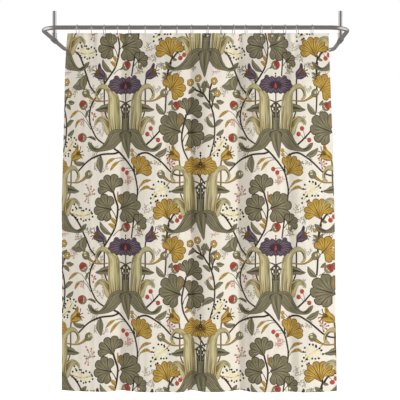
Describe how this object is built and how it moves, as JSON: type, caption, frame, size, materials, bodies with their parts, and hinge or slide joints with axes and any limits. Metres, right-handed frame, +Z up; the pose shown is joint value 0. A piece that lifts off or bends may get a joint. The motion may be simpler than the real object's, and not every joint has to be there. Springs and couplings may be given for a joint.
{
  "type": "shower curtain",
  "caption": "Printed fabric shower curtain hung by wire rings from a rectangular hoop rail that two drop tubes carry from the ceiling.",
  "frame": {"origin": "in the ceiling plane, midway between the axes of the two drop tubes", "axes": "+Z up; +X to the right along the front rail, seen from outside the bath; +Y away from that viewer, across the hoop"},
  "size_m": [1.8853, 0.8457, 2.3552],
  "materials": {
    "hoop_tube": "polished chrome plate over brass tube",
    "cast_fitting": "polished chrome plate over a casting",
    "ceiling_plug": "polished chrome plate, turned",
    "set_screw": "plain steel",
    "ring_wire": "bright drawn wire",
    "eyelet": "cream enamel",
    "printed_cloth": "matt plain weave, cream ground with a printed pattern of leaves and flowers"
  },
  "bodies": {
    "rail": {"front_hoop_tube": "hoop_tube", "rear_hoop_tube": "hoop_tube", "left_tee": "cast_fitting", "right_tee": "cast_fitting", "left_drop_tube": "hoop_tube", "right_drop_tube": "hoop_tube", "left_ceiling_plug": "ceiling_plug", "right_ceiling_plug": "ceiling_plug", "set_screws": "set_screw"},
    "curtain": {"curtain_panel": "printed_cloth", "header_band": "printed_cloth", "bottom_hem": "printed_cloth", "left_side_hem": "printed_cloth", "right_side_hem": "printed_cloth", "ring_01": "ring_wire", "eyelet_01": "eyelet"},
    "runner_02": {"ring_02": "ring_wire", "eyelet_02": "eyelet"},
    "runner_03": {"ring_03": "ring_wire", "eyelet_03": "eyelet"},
    "runner_04": {"ring_04": "ring_wire", "eyelet_04": "eyelet"},
    "runner_05": {"ring_05": "ring_wire", "eyelet_05": "eyelet"},
    "runner_06": {"ring_06": "ring_wire", "eyelet_06": "eyelet"},
    "runner_07": {"ring_07": "ring_wire", "eyelet_07": "eyelet"},
    "runner_08": {"ring_08": "ring_wire", "eyelet_08": "eyelet"},
    "runner_09": {"ring_09": "ring_wire", "eyelet_09": "eyelet"},
    "runner_10": {"ring_10": "ring_wire", "eyelet_10": "eyelet"},
    "runner_11": {"ring_11": "ring_wire", "eyelet_11": "eyelet"},
    "runner_12": {"ring_12": "ring_wire", "eyelet_12": "eyelet"},
    "runner_13": {"ring_13": "ring_wire", "eyelet_13": "eyelet"},
    "runner_14": {"ring_14": "ring_wire", "eyelet_14": "eyelet"},
    "runner_15": {"ring_15": "ring_wire", "eyelet_15": "eyelet"},
    "runner_16": {"ring_16": "ring_wire", "eyelet_16": "eyelet"},
    "runner_17": {"ring_17": "ring_wire", "eyelet_17": "eyelet"},
    "lead_runner": {"ring_18": "ring_wire", "eyelet_18": "eyelet"}
  },
  "joints": [
    {"name": "curtain_swing", "type": "hinge", "parent": "rail", "child": "curtain", "pos_m": [0, -0.4, -0.188], "axis": [1, 0, 0], "range_deg": [-20, 20]},
    {"name": "curtain_draw", "type": "slide", "parent": "curtain", "child": "lead_runner", "axis": [-1, 0, 0], "range_m": [0, 0.99], "deforming": ["curtain_panel", "header_band", "bottom_hem", "left_side_hem", "right_side_hem"]},
    {"name": "runner_02_slide", "type": "slide", "parent": "curtain", "child": "runner_02", "axis": [-1, 0, 0], "range_m": [0, 0.0586]},
    {"name": "runner_03_slide", "type": "slide", "parent": "curtain", "child": "runner_03", "axis": [-1, 0, 0], "range_m": [0, 0.1138]},
    {"name": "runner_04_slide", "type": "slide", "parent": "curtain", "child": "runner_04", "axis": [-1, 0, 0], "range_m": [0, 0.1684]},
    {"name": "runner_05_slide", "type": "slide", "parent": "curtain", "child": "runner_05", "axis": [-1, 0, 0], "range_m": [0, 0.2209]},
    {"name": "runner_06_slide", "type": "slide", "parent": "curtain", "child": "runner_06", "axis": [-1, 0, 0], "range_m": [0, 0.286]},
    {"name": "runner_07_slide", "type": "slide", "parent": "curtain", "child": "runner_07", "axis": [-1, 0, 0], "range_m": [0, 0.3531]},
    {"name": "runner_08_slide", "type": "slide", "parent": "curtain", "child": "runner_08", "axis": [-1, 0, 0], "range_m": [0, 0.4189]},
    {"name": "runner_09_slide", "type": "slide", "parent": "curtain", "child": "runner_09", "axis": [-1, 0, 0], "range_m": [0, 0.4833]},
    {"name": "runner_10_slide", "type": "slide", "parent": "curtain", "child": "runner_10", "axis": [-1, 0, 0], "range_m": [0, 0.5497]},
    {"name": "runner_11_slide", "type": "slide", "parent": "curtain", "child": "runner_11", "axis": [-1, 0, 0], "range_m": [0, 0.6064]},
    {"name": "runner_12_slide", "type": "slide", "parent": "curtain", "child": "runner_12", "axis": [-1, 0, 0], "range_m": [0, 0.6589]},
    {"name": "runner_13_slide", "type": "slide", "parent": "curtain", "child": "runner_13", "axis": [-1, 0, 0], "range_m": [0, 0.7113]},
    {"name": "runner_14_slide", "type": "slide", "parent": "curtain", "child": "runner_14", "axis": [-1, 0, 0], "range_m": [0, 0.7757]},
    {"name": "runner_15_slide", "type": "slide", "parent": "curtain", "child": "runner_15", "axis": [-1, 0, 0], "range_m": [0, 0.8219]},
    {"name": "runner_16_slide", "type": "slide", "parent": "curtain", "child": "runner_16", "axis": [-1, 0, 0], "range_m": [0, 0.8751]},
    {"name": "runner_17_slide", "type": "slide", "parent": "curtain", "child": "runner_17", "axis": [-1, 0, 0], "range_m": [0, 0.9282]}
  ],
  "couplings": [
    {"joint": "runner_02_slide", "follows": "curtain_draw", "ratio": 0.058657},
    {"joint": "runner_03_slide", "follows": "curtain_draw", "ratio": 0.11449},
    {"joint": "runner_04_slide", "follows": "curtain_draw", "ratio": 0.16961},
    {"joint": "runner_05_slide", "follows": "curtain_draw", "ratio": 0.22262},
    {"joint": "runner_06_slide", "follows": "curtain_draw", "ratio": 0.28834},
    {"joint": "runner_07_slide", "follows": "curtain_draw", "ratio": 0.35618},
    {"joint": "runner_08_slide", "follows": "curtain_draw", "ratio": 0.42262},
    {"joint": "runner_09_slide", "follows": "curtain_draw", "ratio": 0.48763},
    {"joint": "runner_10_slide", "follows": "curtain_draw", "ratio": 0.55477},
    {"joint": "runner_11_slide", "follows": "curtain_draw", "ratio": 0.61201},
    {"joint": "runner_12_slide", "follows": "curtain_draw", "ratio": 0.66502},
    {"joint": "runner_13_slide", "follows": "curtain_draw", "ratio": 0.71802},
    {"joint": "runner_14_slide", "follows": "curtain_draw", "ratio": 0.78304},
    {"joint": "runner_15_slide", "follows": "curtain_draw", "ratio": 0.82968},
    {"joint": "runner_16_slide", "follows": "curtain_draw", "ratio": 0.88339},
    {"joint": "runner_17_slide", "follows": "curtain_draw", "ratio": 0.9371}
  ]
}
